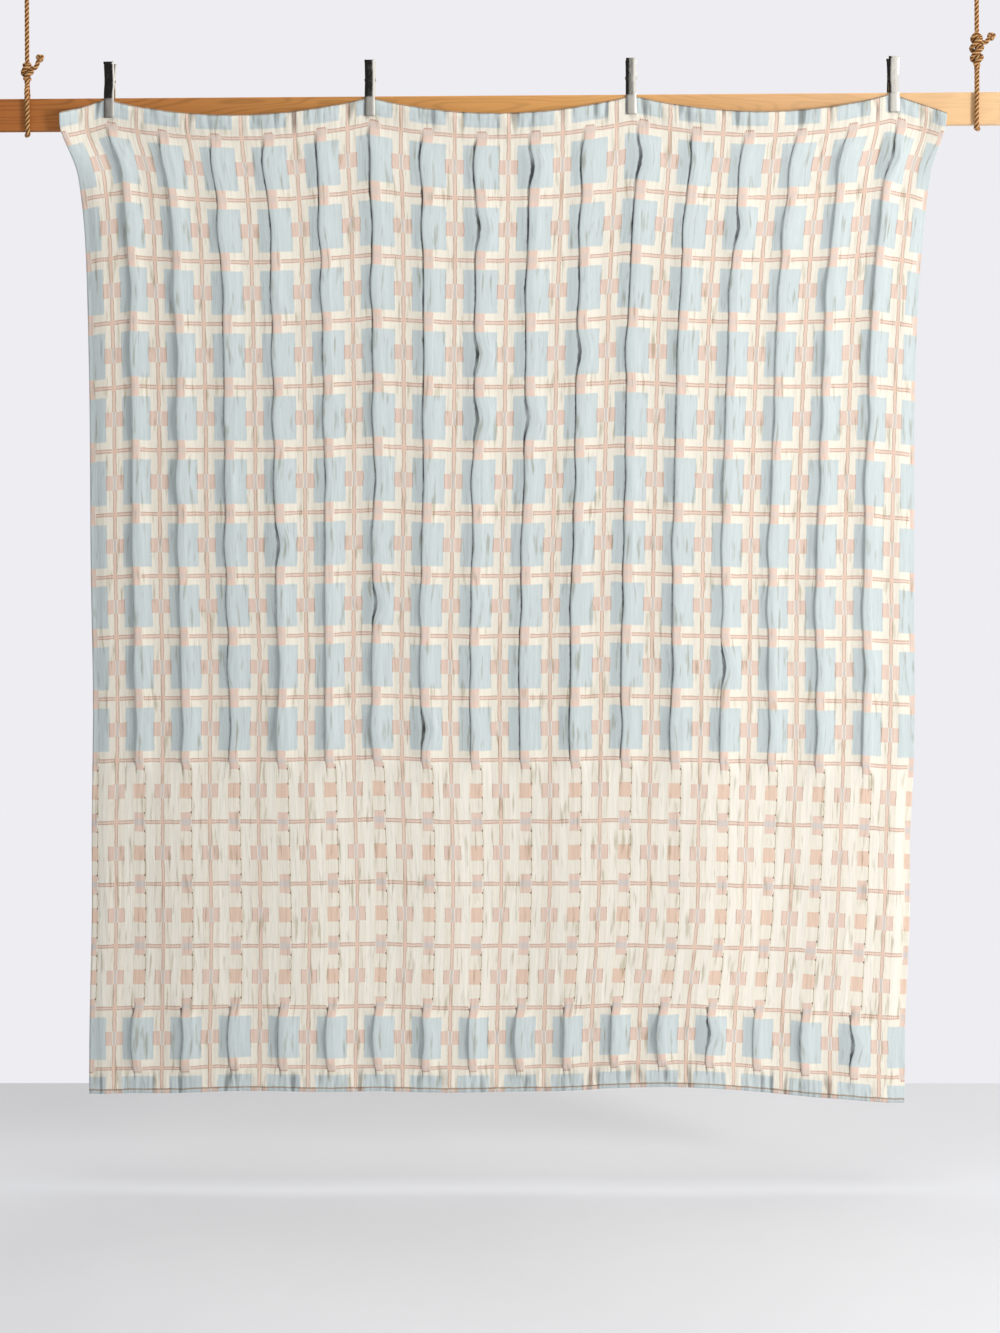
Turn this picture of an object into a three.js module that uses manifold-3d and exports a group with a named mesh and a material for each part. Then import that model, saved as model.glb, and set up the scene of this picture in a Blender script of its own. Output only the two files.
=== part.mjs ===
// A woven plaid coverlet that hangs from a flat wooden rail by four steel spring clips.
// The rail hangs in two loops of twisted rope, each knotted above the rail and held by a ceiling boss.
// Millimetres, +Z up. The face of the coverlet looks along -Y, and +X is to its right.
// The origin is the middle of the left ceiling boss, on the ceiling.
import * as THREE from "three";
import { mergeVertices } from "three/addons/utils/BufferGeometryUtils.js";
import Module from "manifold-3d";

const wasm = await Module();
wasm.setup();

// Rail
const RAIL_LENGTH = 2600;
const RAIL_HEIGHT = 76;
const RAIL_THICKNESS = 34;
const RAIL_EASING = 2;
const RAIL_FRONT = -RAIL_THICKNESS / 2;

// Ropes and their ceiling bosses, heights from the top of the rail
const ROPE_SPACING = 2260;
const ROPE_DIAMETER = 11;
const ROPE_SIDES = 8;
const CEILING_HEIGHT = 290;
const BOSS_LENGTH = 36;
const BOSS_RADIUS = 14;
const PLATE_RADIUS = 36;
const PLATE_THICKNESS = 4;
const GAP = 0.3;

// Spring clips
const CLIP_PLACES = [-931, -310, 310, 931];
const CLIP_WIDTH = 24;
const STRAP = 2;
const PIVOT_HEIGHT = 41;
const PIN_RADIUS = 2;
const PIN_HEAD_RADIUS = 3.6;
const EAR = 1.5;

// Coverlet, as woven: columns across and lines down, and how it hangs
const CLOTH = 3;
const COLUMNS = 17;
const LAST_LINE = 15;
const COLUMN_FLAT = 126;
const LINE_PITCH = 147.2;
const TOP_EDGE = -0.4;
const BOTTOM_EDGE = 15.4;
const FIRST_LINE_DEPTH = 98.4;
const CLOTH_OFF_RAIL = 5.2;
const CLOTH_AT_CLIP = 0.3 + CLOTH / 2;
const PLEAT_HEIGHT = 14;
const PLEAT_LEAN = 20;
const MIDDLE_COLUMN = COLUMNS / 2;
const CLIP_COLUMNS = [0.9, 5.9, 10.78, 15.77];

const materials = {
  cloth: new THREE.MeshStandardMaterial({ color: "#d3d5d0", roughness: 0.95, metalness: 0 }),
  wood: new THREE.MeshStandardMaterial({ color: "#d39a5c", roughness: 0.55, metalness: 0 }),
  chrome: new THREE.MeshStandardMaterial({ color: "#c9c9c6", roughness: 0.2, metalness: 1 }),
  rope: new THREE.MeshStandardMaterial({ color: "#b98a55", roughness: 0.9, metalness: 0 }),
  steel: new THREE.MeshStandardMaterial({ color: "#a9a9a8", roughness: 0.4, metalness: 1 }),
};

const clamp = (value, low, high) => Math.min(high, Math.max(low, value));

function smooth(from, to, value) {
  const t = clamp((value - from) / (to - from), 0, 1);
  return t * t * (3 - 2 * t);
}

function named(name, geometry, material) {
  const mesh = new THREE.Mesh(geometry, material);
  mesh.name = name;
  return mesh;
}

// ---- solids joined with manifold-3d ----

function toSolid(geometry) {
  const bare = geometry.clone();
  bare.deleteAttribute("normal");
  bare.deleteAttribute("uv");
  const merged = mergeVertices(bare, 1e-4);
  return new wasm.Manifold(
    new wasm.Mesh({
      numProp: 3,
      vertProperties: merged.attributes.position.array,
      triVerts: new Uint32Array(merged.index.array),
    }),
  );
}

function toGeometry(solid) {
  const mesh = solid.getMesh();
  const geometry = new THREE.BufferGeometry();
  geometry.setAttribute("position", new THREE.BufferAttribute(mesh.vertProperties, 3));
  geometry.setIndex(new THREE.BufferAttribute(mesh.triVerts, 1));
  return geometry;
}

// ---- coverlet ----

// How far down the pleats are formed: from the first line to the cream part, and again in the last row.
function pleatAmount(line) {
  const upper = smooth(0, 0.35, line) * (1 - smooth(9.95, 10.25, line));
  const lower = smooth(13.9, 14.15, line) * (1 - smooth(14.95, 15.15, line));
  return upper + lower;
}

// 0 where a clip holds the top edge, 1 midway between two clips, and the droop of each corner.
function sagShare(column) {
  const first = CLIP_COLUMNS[0];
  const last = CLIP_COLUMNS[CLIP_COLUMNS.length - 1];
  if (column < first) return (0.85 * (first - column)) / first;
  if (column > last) return (1.2 * (column - last)) / (COLUMNS - last);
  const next = CLIP_COLUMNS.findIndex((place) => place > column);
  if (next < 1) return 0;
  const t = (column - CLIP_COLUMNS[next - 1]) / (CLIP_COLUMNS[next] - CLIP_COLUMNS[next - 1]);
  return 4 * t * (1 - t);
}

function hump(value, middle, reach) {
  return Math.exp(-(((value - middle) / reach) ** 2));
}

function depthOf(column, line) {
  const sag = sagShare(column);
  const lift = (20 * Math.exp(-0.55 * line) + 12 * Math.exp(-0.08 * line)) * (1 - sag);
  const edgeFlop = line < 0 ? 4 * sag * (line / TOP_EDGE) : 0;
  const slack = (3 + 3 * smooth(5, 8, column)) * smooth(3, 4.5, line) * (1 - smooth(14, 15, line))
    + 6 * hump(line, 6.5, 1.1);
  const longCorner = 26 * smooth(12, 17.5, column) * Math.sqrt(Math.max(0, line) / LAST_LINE)
    + 7 * (1 - smooth(0.5, 3, column)) * smooth(2, 4, line);
  const scallops = (16 * hump(column, 12.5, 2.1) + 6 * hump(column, 3.5, 1.5)) * smooth(13, 15, line);
  return FIRST_LINE_DEPTH + LINE_PITCH * line - lift + edgeFlop + slack + longCorner - scallops;
}

// Where a column falls across the width at a given depth: the pitch tightens as the cloth gathers.
// Where the cloth swings sideways (mm): how far, then the middle and reach of each swing, in columns from
// the cloth's middle and in depth.
const SWINGS = [
  [-9, 0, 2.5, 1350, 350],
  [10, 3.9, 1.8, 1970, 180],
  [-6, 6.1, 1.5, 1170, 350],
  [8, -4.9, 1.2, 1385, 220],
  [-8, 8.7, 0.9, 1770, 160],
];

function acrossOf(column, depth) {
  const lowerFade = 1 - smooth(1400, 2250, depth);
  const pitch = 111.4 + 6.9 * lowerFade + 9.8 * Math.exp(-Math.max(0, depth - 160) / 350);
  const gather = 0.055 + 0.075 * smooth(60, 180, depth) * Math.exp(-Math.max(0, depth - 180) / 450);
  const squeeze = gather * lowerFade - 0.025 * (1 - lowerFade);
  const from = column - MIDDLE_COLUMN;
  let middle = 18.5 - 0.0115 * (depth - 165) - 4 * smooth(200, 600, depth) - 9 * smooth(1850, 2250, depth);
  for (const [swing, far, wide, low, tall] of SWINGS) {
    middle += swing * hump(from, far, wide) * hump(depth, low, tall);
  }
  middle -= 9 * smooth(6, 8, from) * (1 - smooth(60, 160, depth));
  middle -= 8 * smooth(-4, -6.5, from) * (1 - hump(depth, 1456, 260));
  const inner = clamp(from, -8, 8);
  const outer = (from - inner) * (from > 0 ? 90 + 34 * smooth(300, 2000, depth) : 120);
  return middle + pitch * inner - squeeze * inner ** 3 + outer;
}

// Broad soft waves, deeper towards the free hem.
function waveOf(column, line) {
  const free = smooth(-0.2, 15, line);
  const broad = Math.sin(0.83 * column + 0.4 + 0.05 * line);
  const narrow = Math.sin(2.3 * column + 1.9 - 0.11 * line);
  return free * (7 * broad + 3 * narrow) + smooth(0.2, 2, line) * 2 * Math.sin(1.37 * column + 0.8);
}

function pointOf(column, line) {
  const centre = Math.round(column);
  const flat = (column - centre) * COLUMN_FLAT;
  const isEdgeColumn = centre === 0 || centre === COLUMNS;
  const amount = isEdgeColumn ? 0 : pleatAmount(line);
  const reach = flat < 0 ? 16 : 42;
  const bump = Math.abs(flat) < reach ? Math.cos((Math.PI / 2) * (flat / reach)) ** 2 : 0;
  const depth = depthOf(column, line);
  const wander = 4 * Math.sin(2.1 * centre + 0.9 * line) * amount * bump;
  const x = acrossOf(column, depth) - amount * PLEAT_LEAN * bump + wander;
  const toClip = Math.min(...CLIP_PLACES.map((place) => Math.abs(x - place)));
  const held = (1 - smooth(40, 110, toClip)) * (1 - smooth(60, 160, depth));
  const rest = RAIL_FRONT - CLOTH_OFF_RAIL + waveOf(column, line);
  const pressed = RAIL_FRONT - CLOTH_AT_CLIP;
  const tip = line < 0 ? 10 * sagShare(column) * (line / TOP_EDGE) : 0;
  const curl = 9 * (smooth(0.35, 0, column) + smooth(16.65, 17, column)) * smooth(0.2, 1.2, line);
  const plain = rest - tip * (1 - held) + curl;
  const y = plain * (1 - held) + pressed * held - amount * PLEAT_HEIGHT * bump;
  return new THREE.Vector3(x, y, -depth);
}

// Places across one column: the gap line, the foot of the pleat, its crest and its long slope.
const CELL_STEPS = [-0.5, -0.3, -0.127, -0.045, 0.09, 0.3];
const LINE_STEPS = [
  TOP_EDGE, -0.05, 0.35, 1.5, 3, 4.5, 6, 7.5, 9, 9.95, 10.25, 11.5, 12.7, 13.9, 14.2, 14.9, BOTTOM_EDGE,
];

function columnSteps() {
  const steps = [];
  for (let centre = 0; centre <= COLUMNS; centre += 1) {
    CELL_STEPS.forEach((step) => steps.push(centre + step));
  }
  const inside = steps.filter((step) => step > 0.02 && step < COLUMNS - 0.02);
  return [0, ...inside, COLUMNS];
}

function coverletGeometry() {
  const columns = columnSteps();
  const wide = columns.length;
  const high = LINE_STEPS.length;
  const grid = LINE_STEPS.map((line) => columns.map((column) => pointOf(column, line)));
  const positions = [];
  for (const side of [1, -1]) {
    for (let j = 0; j < high; j += 1) {
      for (let i = 0; i < wide; i += 1) {
        const left = grid[j][Math.max(0, i - 1)];
        const right = grid[j][Math.min(wide - 1, i + 1)];
        const above = grid[Math.max(0, j - 1)][i];
        const below = grid[Math.min(high - 1, j + 1)][i];
        const across = right.clone().sub(left);
        const down = below.clone().sub(above);
        const normal = down.cross(across).normalize();
        const point = grid[j][i].clone().addScaledVector(normal, (side * CLOTH) / 2);
        positions.push(point.x, point.y, point.z);
      }
    }
  }
  const front = (j, i) => j * wide + i;
  const back = (j, i) => wide * high + j * wide + i;
  const faces = [];
  const quad = (a, b, c, d) => faces.push(a, b, c, a, c, d);
  for (let j = 0; j + 1 < high; j += 1) {
    for (let i = 0; i + 1 < wide; i += 1) {
      quad(front(j, i), front(j + 1, i), front(j + 1, i + 1), front(j, i + 1));
      quad(back(j, i), back(j, i + 1), back(j + 1, i + 1), back(j + 1, i));
    }
    quad(front(j, 0), back(j, 0), back(j + 1, 0), front(j + 1, 0));
    quad(front(j, wide - 1), front(j + 1, wide - 1), back(j + 1, wide - 1), back(j, wide - 1));
  }
  for (let i = 0; i + 1 < wide; i += 1) {
    quad(front(0, i), front(0, i + 1), back(0, i + 1), back(0, i));
    quad(front(high - 1, i), back(high - 1, i), back(high - 1, i + 1), front(high - 1, i + 1));
  }
  const geometry = new THREE.BufferGeometry();
  geometry.setAttribute("position", new THREE.Float32BufferAttribute(positions, 3));
  geometry.setIndex(faces);
  return geometry;
}

// ---- rail ----

function railGeometry() {
  const half = RAIL_THICKNESS / 2 - RAIL_EASING;
  const outline = new THREE.Shape();
  outline.moveTo(-half, 0);
  outline.lineTo(half, 0);
  outline.lineTo(half + RAIL_EASING, -RAIL_EASING);
  outline.lineTo(half + RAIL_EASING, RAIL_EASING - RAIL_HEIGHT);
  outline.lineTo(half, -RAIL_HEIGHT);
  outline.lineTo(-half, -RAIL_HEIGHT);
  outline.lineTo(-half - RAIL_EASING, RAIL_EASING - RAIL_HEIGHT);
  outline.lineTo(-half - RAIL_EASING, -RAIL_EASING);
  outline.closePath();
  return alongX(outline, RAIL_LENGTH);
}

// A side view drawn as (Y, Z) and drawn out along X, centred on X = 0.
function alongX(outline, width) {
  const geometry = new THREE.ExtrudeGeometry(outline, { depth: width, bevelEnabled: false, curveSegments: 6 });
  geometry.translate(0, 0, -width / 2);
  const turn = new THREE.Matrix4().makeBasis(
    new THREE.Vector3(0, 1, 0),
    new THREE.Vector3(0, 0, 1),
    new THREE.Vector3(1, 0, 0),
  );
  return geometry.applyMatrix4(turn);
}

// ---- spring clips ----

// The outline of a bent strap of even thickness, from its middle line.
function strapOutline(middle) {
  const sides = [[], []];
  middle.forEach((point, i) => {
    const before = middle[Math.max(0, i - 1)];
    const after = middle[Math.min(middle.length - 1, i + 1)];
    const enter = point.clone().sub(before).normalize();
    const leave = after.clone().sub(point).normalize();
    const along = enter.clone().add(leave).normalize();
    const across = new THREE.Vector2(-along.y, along.x);
    const half = STRAP / 2 / Math.max(0.7, i > 0 && i + 1 < middle.length ? along.dot(leave) : 1);
    sides[0].push(point.clone().addScaledVector(across, half));
    sides[1].unshift(point.clone().addScaledVector(across, -half));
  });
  return new THREE.Shape([...sides[0], ...sides[1]]);
}

// Middle line of a leg for the front side: rolled lip, handle, waist at the pivot, arm, jaw and toe.
function legLine(jaw) {
  const line = new THREE.Path();
  line.moveTo(-25.6, 80.4);
  line.absarc(-22.5, 82, 3.5, Math.PI * 1.15, Math.PI * 0.1, true);
  line.lineTo(-11.5, PIVOT_HEIGHT + 9);
  line.quadraticCurveTo(-9.5, PIVOT_HEIGHT, -12, PIVOT_HEIGHT - 8);
  line.quadraticCurveTo(-jaw, 16, -jaw, 4);
  line.lineTo(-jaw, -44);
  line.lineTo(-jaw - 2.5, -48);
  return line.getPoints(4);
}

// One leg: the strap with two ears that carry the pivot pin. side is 1 for the front leg, -1 for the back.
function legGeometry(side, jaw, earPlace) {
  const middle = legLine(jaw).map((point) => new THREE.Vector2(point.x, point.y));
  let leg = toSolid(alongX(strapOutline(middle), CLIP_WIDTH));
  for (const hand of [-1, 1]) {
    const ear = new THREE.Shape();
    ear.moveTo(-11.2, PIVOT_HEIGHT + 9);
    ear.lineTo(-10.4, PIVOT_HEIGHT - 7);
    ear.lineTo(0, PIVOT_HEIGHT - 5);
    ear.absarc(0, PIVOT_HEIGHT, 5, -Math.PI / 2, Math.PI / 2, false);
    ear.lineTo(-11.2, PIVOT_HEIGHT + 9);
    const hole = new THREE.Path();
    hole.absarc(0, PIVOT_HEIGHT, PIN_RADIUS + GAP + 0.02, 0, Math.PI * 2, true);
    ear.holes.push(hole);
    leg = leg.add(toSolid(alongX(ear, EAR).translate(hand * earPlace, 0, 0)));
  }
  const geometry = toGeometry(leg);
  return side > 0 ? geometry : geometry.rotateZ(Math.PI);
}

// A solid turned about an axis along X, at the pivot: points are (radius, place along X).
function turnedOnPivot(points, segments) {
  const geometry = new THREE.LatheGeometry(
    points.map(([radius, place]) => new THREE.Vector2(radius, place)),
    segments,
  );
  return geometry.rotateZ(-Math.PI / 2).translate(0, 0, PIVOT_HEIGHT);
}

function clip(number, place) {
  const group = new THREE.Group();
  group.position.x = place;
  const frontJaw = -RAIL_FRONT + CLOTH + 2 * GAP + STRAP / 2;
  const backJaw = -RAIL_FRONT + GAP + STRAP / 2;
  const outerEar = CLIP_WIDTH / 2 - EAR / 2;
  const innerEar = outerEar - EAR - GAP;
  const springHalf = innerEar - EAR / 2 - GAP;
  const headFace = CLIP_WIDTH / 2 + GAP;
  const headTop = headFace + 1.4;
  const pin = [
    [0, -headTop], [PIN_HEAD_RADIUS, -headTop], [PIN_HEAD_RADIUS, -headFace], [PIN_RADIUS, -headFace],
    [PIN_RADIUS, headFace], [PIN_HEAD_RADIUS, headFace], [PIN_HEAD_RADIUS, headTop], [0, headTop],
  ];
  const spring = [
    [PIN_RADIUS + 0.6, -springHalf], [5.6, -springHalf], [5.6, springHalf],
    [PIN_RADIUS + 0.6, springHalf], [PIN_RADIUS + 0.6, -springHalf],
  ];
  const name = `clip_${number}`;
  group.add(named(`${name}_front_leg`, legGeometry(1, frontJaw, outerEar), materials.chrome));
  group.add(named(`${name}_back_leg`, legGeometry(-1, backJaw, innerEar), materials.chrome));
  group.add(named(`${name}_pin`, turnedOnPivot(pin, 12), materials.steel));
  group.add(named(`${name}_spring`, turnedOnPivot(spring, 12), materials.steel));
  return group;
}

// ---- ropes ----

function ropeGeometry(points, steps) {
  const path = new THREE.CatmullRomCurve3(points.map(([x, y, z]) => new THREE.Vector3(x, y, z)), false, "centripetal");
  const section = new THREE.Shape();
  for (let i = 0; i < ROPE_SIDES; i += 1) {
    const angle = (2 * Math.PI * i) / ROPE_SIDES;
    const x = (ROPE_DIAMETER / 2) * Math.cos(angle);
    const y = (ROPE_DIAMETER / 2) * Math.sin(angle);
    if (i === 0) section.moveTo(x, y);
    else section.lineTo(x, y);
  }
  section.closePath();
  return new THREE.ExtrudeGeometry(section, { steps, extrudePath: path, bevelEnabled: false });
}

// The loop under the rail: down the front face, round both lower edges and up the back.
function loopRoute(knotFoot) {
  const front = [
    [0, -6.2, knotFoot - GAP], [0, -6.2, knotFoot - 5], [0, -9, knotFoot - 14], [0, -17, 20], [0, -23, 6],
    [0, -24.6, -10], [0, -24.6, -40], [0, -24.7, -60], [0, -24.7, -70], [0, -21.4, -79.9], [0, -12, -83.9],
  ];
  const back = front.map(([x, y, z]) => [x, -y, z]).reverse();
  return [...front, ...back];
}

// A turned solid about a vertical axis: points are (radius, height), from the bottom up.
function turned(points, segments) {
  const geometry = new THREE.LatheGeometry(
    points.map(([radius, height]) => new THREE.Vector2(radius, height)),
    segments,
  );
  return geometry.rotateX(Math.PI / 2);
}

function knotGeometry(foot, top, fatness) {
  const at = (share) => foot + share * (top - foot);
  return turned(
    [
      [0, foot], [12, foot], [fatness, at(0.14)], [fatness, at(0.34)], [fatness * 0.86, at(0.5)],
      [fatness, at(0.66)], [fatness, at(0.84)], [8, top], [0, top],
    ],
    10,
  );
}

function bossGeometry() {
  const foot = CEILING_HEIGHT - PLATE_THICKNESS - BOSS_LENGTH;
  const plate = CEILING_HEIGHT - PLATE_THICKNESS;
  return turned(
    [
      [0, foot], [BOSS_RADIUS - 4, foot], [BOSS_RADIUS, foot + 4], [BOSS_RADIUS, plate - 6], [BOSS_RADIUS + 6, plate],
      [PLATE_RADIUS - 1, plate], [PLATE_RADIUS, plate + 1], [PLATE_RADIUS, CEILING_HEIGHT], [0, CEILING_HEIGHT],
    ],
    24,
  );
}

// side: name and place; knot: its foot, top and fatness; tail: its route; stopper: centre and radius.
function rope({ side, x, knot, tail, stopper }) {
  const group = new THREE.Group();
  group.position.x = x;
  const name = `rope_${side}`;
  const bossFoot = CEILING_HEIGHT - PLATE_THICKNESS - BOSS_LENGTH;
  const fall = [];
  const FALL_STEPS = 5;
  for (let i = 0; i <= FALL_STEPS; i += 1) {
    const from = bossFoot - GAP;
    const to = knot.top + GAP;
    fall.push([0, 0, from + ((to - from) * i) / FALL_STEPS]);
  }
  const [radius, centre] = [stopper.radius, stopper.centre];
  const ball = new THREE.SphereGeometry(radius, 10, 7).translate(...centre);
  group.add(named(`ceiling_boss_${side}`, bossGeometry(), materials.steel));
  group.add(named(`${name}_fall`, ropeGeometry(fall, FALL_STEPS), materials.rope));
  group.add(named(`${name}_knot`, knotGeometry(knot.foot, knot.top, knot.fatness), materials.rope));
  group.add(named(`${name}_loop`, ropeGeometry(loopRoute(knot.foot), 30), materials.rope));
  group.add(named(`${name}_tail`, ropeGeometry(tail, 5), materials.rope));
  group.add(named(`${name}_stopper`, ball, materials.rope));
  return group;
}

const ropes = [
  {
    side: "left",
    x: -ROPE_SPACING / 2,
    knot: { foot: 43, top: 90, fatness: 15.5 },
    tail: [[16.6, 0, 75.5], [19, 0, 76.2], [22.6, 0, 80.6], [25.9, 0, 88.9]],
    stopper: { centre: [31, 0, 99], radius: 11 },
  },
  {
    side: "right",
    x: ROPE_SPACING / 2,
    knot: { foot: 60, top: 146, fatness: 18 },
    tail: [[19.25, 0, 119.6], [21.5, 0, 120.4], [24.4, 0, 123], [26.7, 0, 126.2]],
    stopper: { centre: [34.6, 0, 134.2], radius: 11 },
  },
];

// ---- the whole ----

const hanging = new THREE.Group();
hanging.position.set(ROPE_SPACING / 2, 0, -CEILING_HEIGHT);
hanging.add(named("coverlet", coverletGeometry(), materials.cloth));
hanging.add(named("rail", railGeometry(), materials.wood));
CLIP_PLACES.forEach((place, index) => hanging.add(clip(index + 1, place)));
ropes.forEach((plan) => hanging.add(rope(plan)));

const part = new THREE.Group();
part.add(hanging);

export default part;
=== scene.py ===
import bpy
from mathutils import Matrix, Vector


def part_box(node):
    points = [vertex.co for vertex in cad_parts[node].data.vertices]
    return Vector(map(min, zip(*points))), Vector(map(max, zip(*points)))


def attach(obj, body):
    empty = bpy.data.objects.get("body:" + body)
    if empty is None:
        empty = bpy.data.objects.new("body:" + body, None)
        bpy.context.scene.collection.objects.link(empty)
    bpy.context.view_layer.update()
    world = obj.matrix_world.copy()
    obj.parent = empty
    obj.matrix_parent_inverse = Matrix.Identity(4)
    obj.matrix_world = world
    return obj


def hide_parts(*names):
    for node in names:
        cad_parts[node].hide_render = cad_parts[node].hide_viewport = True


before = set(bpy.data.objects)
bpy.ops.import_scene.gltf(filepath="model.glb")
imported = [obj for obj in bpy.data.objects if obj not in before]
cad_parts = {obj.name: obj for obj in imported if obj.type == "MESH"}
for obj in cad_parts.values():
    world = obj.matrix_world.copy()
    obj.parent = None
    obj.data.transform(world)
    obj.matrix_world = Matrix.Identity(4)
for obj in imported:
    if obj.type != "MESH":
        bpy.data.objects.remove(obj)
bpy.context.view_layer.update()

import math

import bpy
import numpy as np
from mathutils import Matrix, Vector

MM = 0.001
TURN = 2 * math.pi

# ---------------------------------------------------------------- places taken from the frame

rail_low, rail_high = (Vector(corner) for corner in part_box("rail"))
MIDDLE_X = (rail_low.x + rail_high.x) / 2
RAIL_TOP = rail_high.z
RAIL_FRONT = rail_low.y
BOSS_FOOT = Vector(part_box("ceiling_boss_left")[0]).z
ROPE_X = {side: sum(Vector(c).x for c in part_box(f"rope_{side}_fall")) / 2 for side in ("left", "right")}
CLIP_NUMBERS = (1, 2, 3, 4)
CLIP_X = [sum(Vector(c).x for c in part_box(f"clip_{n}_front_leg")) / 2 for n in CLIP_NUMBERS]


def near_rail(x, y, z):
    """A point in metres from millimetres: x from the rail's middle, y as it is, z from the rail's top."""
    return Vector((MIDDLE_X + x * MM, y * MM, RAIL_TOP + z * MM))


# ---------------------------------------------------------------- camera

# The camera looks level at the upper half of the cloth, and a small lens shift brings in hem and floor.
CAMERA_AIM = (-4.5, -24, -816)
CAMERA_DISTANCE = 6.2
CAMERA_TURN = math.radians(1.1)
CAMERA_ROLL = math.radians(0.26)
CAMERA_LENS = 70.65
LENS_SHIFT = -0.1704


def make_camera():
    aim = near_rail(*CAMERA_AIM)
    back = Vector((math.sin(CAMERA_TURN), -math.cos(CAMERA_TURN), 0))
    data = bpy.data.cameras.new("camera")
    data.lens = CAMERA_LENS
    data.shift_y = LENS_SHIFT
    camera = bpy.data.objects.new("camera", data)
    bpy.context.scene.collection.objects.link(camera)
    camera.location = aim + back * CAMERA_DISTANCE
    turned = (-back).to_track_quat("-Z", "Y").to_matrix() @ Matrix.Rotation(-CAMERA_ROLL, 3, "Z")
    camera.rotation_euler = turned.to_euler()
    bpy.context.scene.camera = camera


# ---------------------------------------------------------------- materials


def linear(code):
    """An sRGB hex code as linear red, green, blue and alpha."""
    parts = [int(code[i : i + 2], 16) / 255 for i in (1, 3, 5)]
    return (*[p / 12.92 if p <= 0.04045 else ((p + 0.055) / 1.055) ** 2.4 for p in parts], 1.0)


def add(tree, kind, inputs=None, out=0, **settings):
    """Adds a node with its settings, fills its inputs from values or outputs, and returns one output."""
    node = tree.nodes.new("ShaderNode" + kind)
    for name, value in settings.items():
        setattr(node, name, value)
    for key, value in (inputs or {}).items():
        if isinstance(value, bpy.types.NodeSocket):
            tree.links.new(value, node.inputs[key])
        else:
            node.inputs[key].default_value = value
    return node.outputs[out]


def new_material(name):
    material = bpy.data.materials.new(name)
    material.use_nodes = True
    material.node_tree.nodes.clear()
    return material, material.node_tree


def close_material(tree, shader):
    node = tree.nodes.new("ShaderNodeOutputMaterial")
    tree.links.new(shader, node.inputs["Surface"])


def ramp(tree, factor, stops):
    """A colour from a factor, through stops of (place, hex code)."""
    node = tree.nodes.new("ShaderNodeValToRGB")
    elements = node.color_ramp.elements
    while len(elements) < len(stops):
        elements.new(0.5)
    for element, (place, code) in zip(elements, stops):
        element.position = place
        element.color = linear(code)
    tree.links.new(factor, node.inputs["Fac"])
    return node.outputs["Color"]


def stretched_noise(tree, place, cells, detail, roughness=0.5):
    """Noise in stretched cells: how many of them go into one unit of the place, each way."""
    scaled = add(tree, "Mapping", {"Vector": place, "Scale": cells})
    return add(tree, "TexNoise", {"Vector": scaled, "Scale": 1.0, "Detail": detail, "Roughness": roughness})


# The weave as charted: columns across, lines down, in millimetres of flat cloth.
COLUMN_MM = 126.0
LINE_MM = 147.2
COLUMNS = 17
LAST_LINE = 15
TOP_LINE = -0.4
BOTTOM_LINE = 15.4
CREAM_FROM = 10
CREAM_TO = 14
STITCHES_IN_COLUMN = 24.0
# How far left of a column's middle its pleat doubles back.
THROAT_MM = 13.4

YARN = {
    "cream": "#eee9dc",
    "white": "#f2eee3",
    "blue": "#cad5d7",
    "pink": "#e5cdbf",
    "rose": "#e6cbb8",
    "pink_edge": "#c6a18d",
    "stripe": "#e6d0c1",
    "stripe_edge": "#c9a894",
    "peach": "#e8cab7",
    "lilac": "#d6cdc8",
    "pale_lilac": "#decdc3",
    "line": "#e6d3c5",
    "line_stitch": "#c08f7b",
    "crease": "#b9ab8c",
    "mark": "#8a6f5c",
    "hem_stitch": "#a08b74",
}

# Each entry: zone, then what each ruler has to read (ruler, middle, half width), then the yarn that shows.
# Rulers: gap = distance from the thin stripe; column = from the column's middle, + to the right;
# line = from the thin cross line, + down; row = from midway between two lines, + down; line_far and row_far
# = the same without sign; row_toothed = row_far with a toothed edge; stitch = 0 to 1 along each stitch.
CHART = [
    ("blue", [("column", 0, 43.1), ("row_toothed", 0, 52.4)], "blue"),
    ("cream", [("gap", 32, 10), ("row", 0, 74)], "white"),
    ("cream", [("column", 15.6, 0.8), ("line_far", 74, 62)], "crease"),
    ("all", [("line_far", 0, 4.7), ("gap", 0, 48.6)], "line"),
    ("all", [("line_far", 3.3, 1.15), ("gap", 0, 48.6), ("stitch", 0.5, 0.3)], "line_stitch"),
    ("all", [("gap", 0, 4.4)], "stripe"),
    ("all", [("gap", 3.6, 0.8)], "stripe_edge"),
    ("all", [("gap", 0, 4.2), ("line_far", 0, 6.0)], "peach"),
    ("all", [("gap", 12.9, 8.5), ("row", 0, 17)], "pink"),
    ("all", [("gap", 20.8, 0.7), ("row", 0, 17)], "pink_edge"),
    ("all", [("gap", 0, 4.6), ("row", 0, 17)], "cream"),
    ("all", [("gap", 0, 3.0), ("row", 0, 17.5)], "lilac"),
    ("cream", [("column", 0, 16), ("row", 0, 17.6)], "rose"),
    ("block", [("column", 0, 13.4), ("line", 0, 22.6)], "pink"),
    ("blue", [("column", 0, 11.5), ("line_far", 0, 8.0)], "pale_lilac"),
    ("cream", [("column", 0, 13.4), ("line_far", 0, 7.2)], "lilac"),
    ("cream", [("column", 14.3, 1.7), ("line_far", 21.8, 2.2)], "mark"),
    ("cream", [("column", 15.2, 1.3), ("row_far", 16.5, 2.6)], "mark"),
    ("pinch", [("column", 0, 10.5), ("stitch", 0.5, 0.34)], "line_stitch"),
    ("hem", [("stitch", 0.5, 0.4)], "hem_stitch"),
]


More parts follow.
